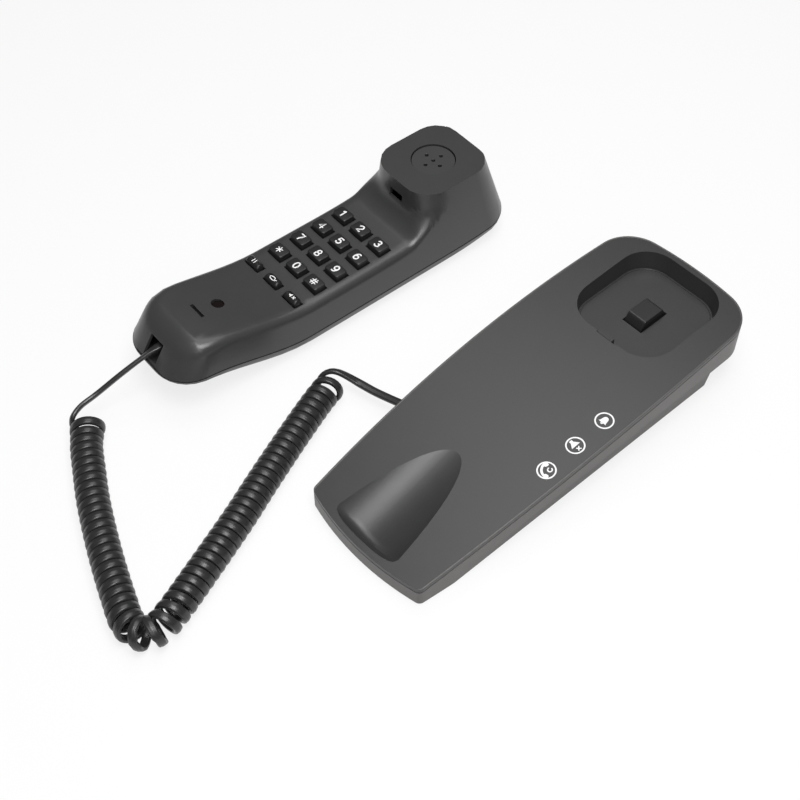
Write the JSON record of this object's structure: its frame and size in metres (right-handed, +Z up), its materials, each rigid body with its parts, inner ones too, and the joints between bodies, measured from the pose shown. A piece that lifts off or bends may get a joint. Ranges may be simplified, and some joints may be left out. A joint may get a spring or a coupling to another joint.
{
  "type": "corded desk telephone",
  "caption": "Corded desk phone: wedge base with ear cradle and hook plunger, keypad handset lying off the hook, curly cord between.",
  "frame": {"origin": "middle of the outline of base and handset on the desk surface, under the rubber feet", "axes": "+Z up; +Y along the base from the mouth end to the ear end; +X from the handset to the base"},
  "size_m": [0.2073, 0.3243, 0.05],
  "materials": {
    "textured_plastic": "fine-grained",
    "base_plastic": "satin",
    "handset_plastic": "satin",
    "disc_plastic": "satin",
    "key_plastic": "semi-gloss, white print",
    "jack_plastic": "semi-gloss",
    "component": "moulded",
    "board": "lacquered",
    "foot_rubber": "matte",
    "key_rubber": "matte",
    "cord": "semi-gloss",
    "lamp_lens": "tinted",
    "screw_steel": "zinc plated",
    "spring_steel": "drawn wire",
    "ballast": "sawn"
  },
  "bodies": {
    "base": {"base_top_cover": "textured_plastic", "base_bottom_shell": "base_plastic", "base_feet": "foot_rubber", "base_screws": "screw_steel", "base_board": "board", "base_components": "component", "hook_spring": "spring_steel", "hook_switch": "component", "ringer_capsule": "component", "line_jack": "jack_plastic", "base_handset_jack": "jack_plastic", "ringer_switch": "component", "plug_base": "jack_plastic", "coil_arm_handset": "cord", "coil_bend": "cord", "coil_arm_base": "cord", "cord_lead_base": "cord"},
    "handset": {"handset_front_shell": "handset_plastic", "handset_back_shell": "handset_plastic", "handset_screws": "screw_steel", "earpiece_disc": "disc_plastic", "earpiece_speaker": "component", "microphone": "component", "lamp": "lamp_lens", "keypad_membrane": "key_rubber", "keypad_board": "board", "handset_weight": "ballast", "handset_jack": "jack_plastic", "plug_handset": "jack_plastic", "cord_lead_handset": "cord"},
    "hook_plunger": {"hook_plunger": "base_plastic"},
    "wall_hook": {"wall_hook": "base_plastic"},
    "ringer_slider": {"ringer_slider": "jack_plastic"},
    "key_1": {"key_1": "key_plastic"},
    "key_2": {"key_2": "key_plastic"},
    "key_3": {"key_3": "key_plastic"},
    "key_4": {"key_4": "key_plastic"},
    "key_5": {"key_5": "key_plastic"},
    "key_6": {"key_6": "key_plastic"},
    "key_7": {"key_7": "key_plastic"},
    "key_8": {"key_8": "key_plastic"},
    "key_9": {"key_9": "key_plastic"},
    "key_star": {"key_star": "key_plastic"},
    "key_0": {"key_0": "key_plastic"},
    "key_hash": {"key_hash": "key_plastic"},
    "key_hold": {"key_hold": "key_plastic"},
    "key_redial": {"key_redial": "key_plastic"},
    "key_mute": {"key_mute": "key_plastic"}
  },
  "joints": [
    {"name": "handset_lift", "type": "slide", "parent": "base", "child": "handset", "axis": [0, 0, 1], "range_m": [0, 0.08]},
    {"name": "hook_press", "type": "slide", "parent": "base", "child": "hook_plunger", "axis": [0, 0, -1], "range_m": [0, 0.0035], "stiffness_N_per_m": 120, "springref_m": -0.003, "deforming": ["hook_spring"]},
    {"name": "wall_hook_slide", "type": "slide", "parent": "base", "child": "wall_hook", "axis": [0, 0, 1], "range_m": [0, 0.007]},
    {"name": "ringer_slide", "type": "slide", "parent": "base", "child": "ringer_slider", "axis": [0, 1, 0], "range_m": [-0.003, 0.003]},
    {"name": "key_1_press", "type": "slide", "parent": "handset", "child": "key_1", "axis": [0, 0, -1], "range_m": [0, 0.0012], "stiffness_N_per_m": 300, "springref_m": -0.0005},
    {"name": "key_2_press", "type": "slide", "parent": "handset", "child": "key_2", "axis": [0, 0, -1], "range_m": [0, 0.0012], "stiffness_N_per_m": 300, "springref_m": -0.0005},
    {"name": "key_3_press", "type": "slide", "parent": "handset", "child": "key_3", "axis": [0, 0, -1], "range_m": [0, 0.0012], "stiffness_N_per_m": 300, "springref_m": -0.0005},
    {"name": "key_4_press", "type": "slide", "parent": "handset", "child": "key_4", "axis": [0, 0, -1], "range_m": [0, 0.0012], "stiffness_N_per_m": 300, "springref_m": -0.0005},
    {"name": "key_5_press", "type": "slide", "parent": "handset", "child": "key_5", "axis": [0, 0, -1], "range_m": [0, 0.0012], "stiffness_N_per_m": 300, "springref_m": -0.0005},
    {"name": "key_6_press", "type": "slide", "parent": "handset", "child": "key_6", "axis": [0, 0, -1], "range_m": [0, 0.0012], "stiffness_N_per_m": 300, "springref_m": -0.0005},
    {"name": "key_7_press", "type": "slide", "parent": "handset", "child": "key_7", "axis": [0, 0, -1], "range_m": [0, 0.0012], "stiffness_N_per_m": 300, "springref_m": -0.0005},
    {"name": "key_8_press", "type": "slide", "parent": "handset", "child": "key_8", "axis": [0, 0, -1], "range_m": [0, 0.0012], "stiffness_N_per_m": 300, "springref_m": -0.0005},
    {"name": "key_9_press", "type": "slide", "parent": "handset", "child": "key_9", "axis": [0, 0, -1], "range_m": [0, 0.0012], "stiffness_N_per_m": 300, "springref_m": -0.0005},
    {"name": "key_star_press", "type": "slide", "parent": "handset", "child": "key_star", "axis": [0, 0, -1], "range_m": [0, 0.0012], "stiffness_N_per_m": 300, "springref_m": -0.0005},
    {"name": "key_0_press", "type": "slide", "parent": "handset", "child": "key_0", "axis": [0, 0, -1], "range_m": [0, 0.0012], "stiffness_N_per_m": 300, "springref_m": -0.0005},
    {"name": "key_hash_press", "type": "slide", "parent": "handset", "child": "key_hash", "axis": [0, 0, -1], "range_m": [0, 0.0012], "stiffness_N_per_m": 300, "springref_m": -0.0005},
    {"name": "key_hold_press", "type": "slide", "parent": "handset", "child": "key_hold", "axis": [0, 0, -1], "range_m": [0, 0.0012], "stiffness_N_per_m": 300, "springref_m": -0.0005},
    {"name": "key_redial_press", "type": "slide", "parent": "handset", "child": "key_redial", "axis": [0, 0, -1], "range_m": [0, 0.0012], "stiffness_N_per_m": 300, "springref_m": -0.0005},
    {"name": "key_mute_press", "type": "slide", "parent": "handset", "child": "key_mute", "axis": [0, 0, -1], "range_m": [0, 0.0012], "stiffness_N_per_m": 300, "springref_m": -0.0005}
  ]
}
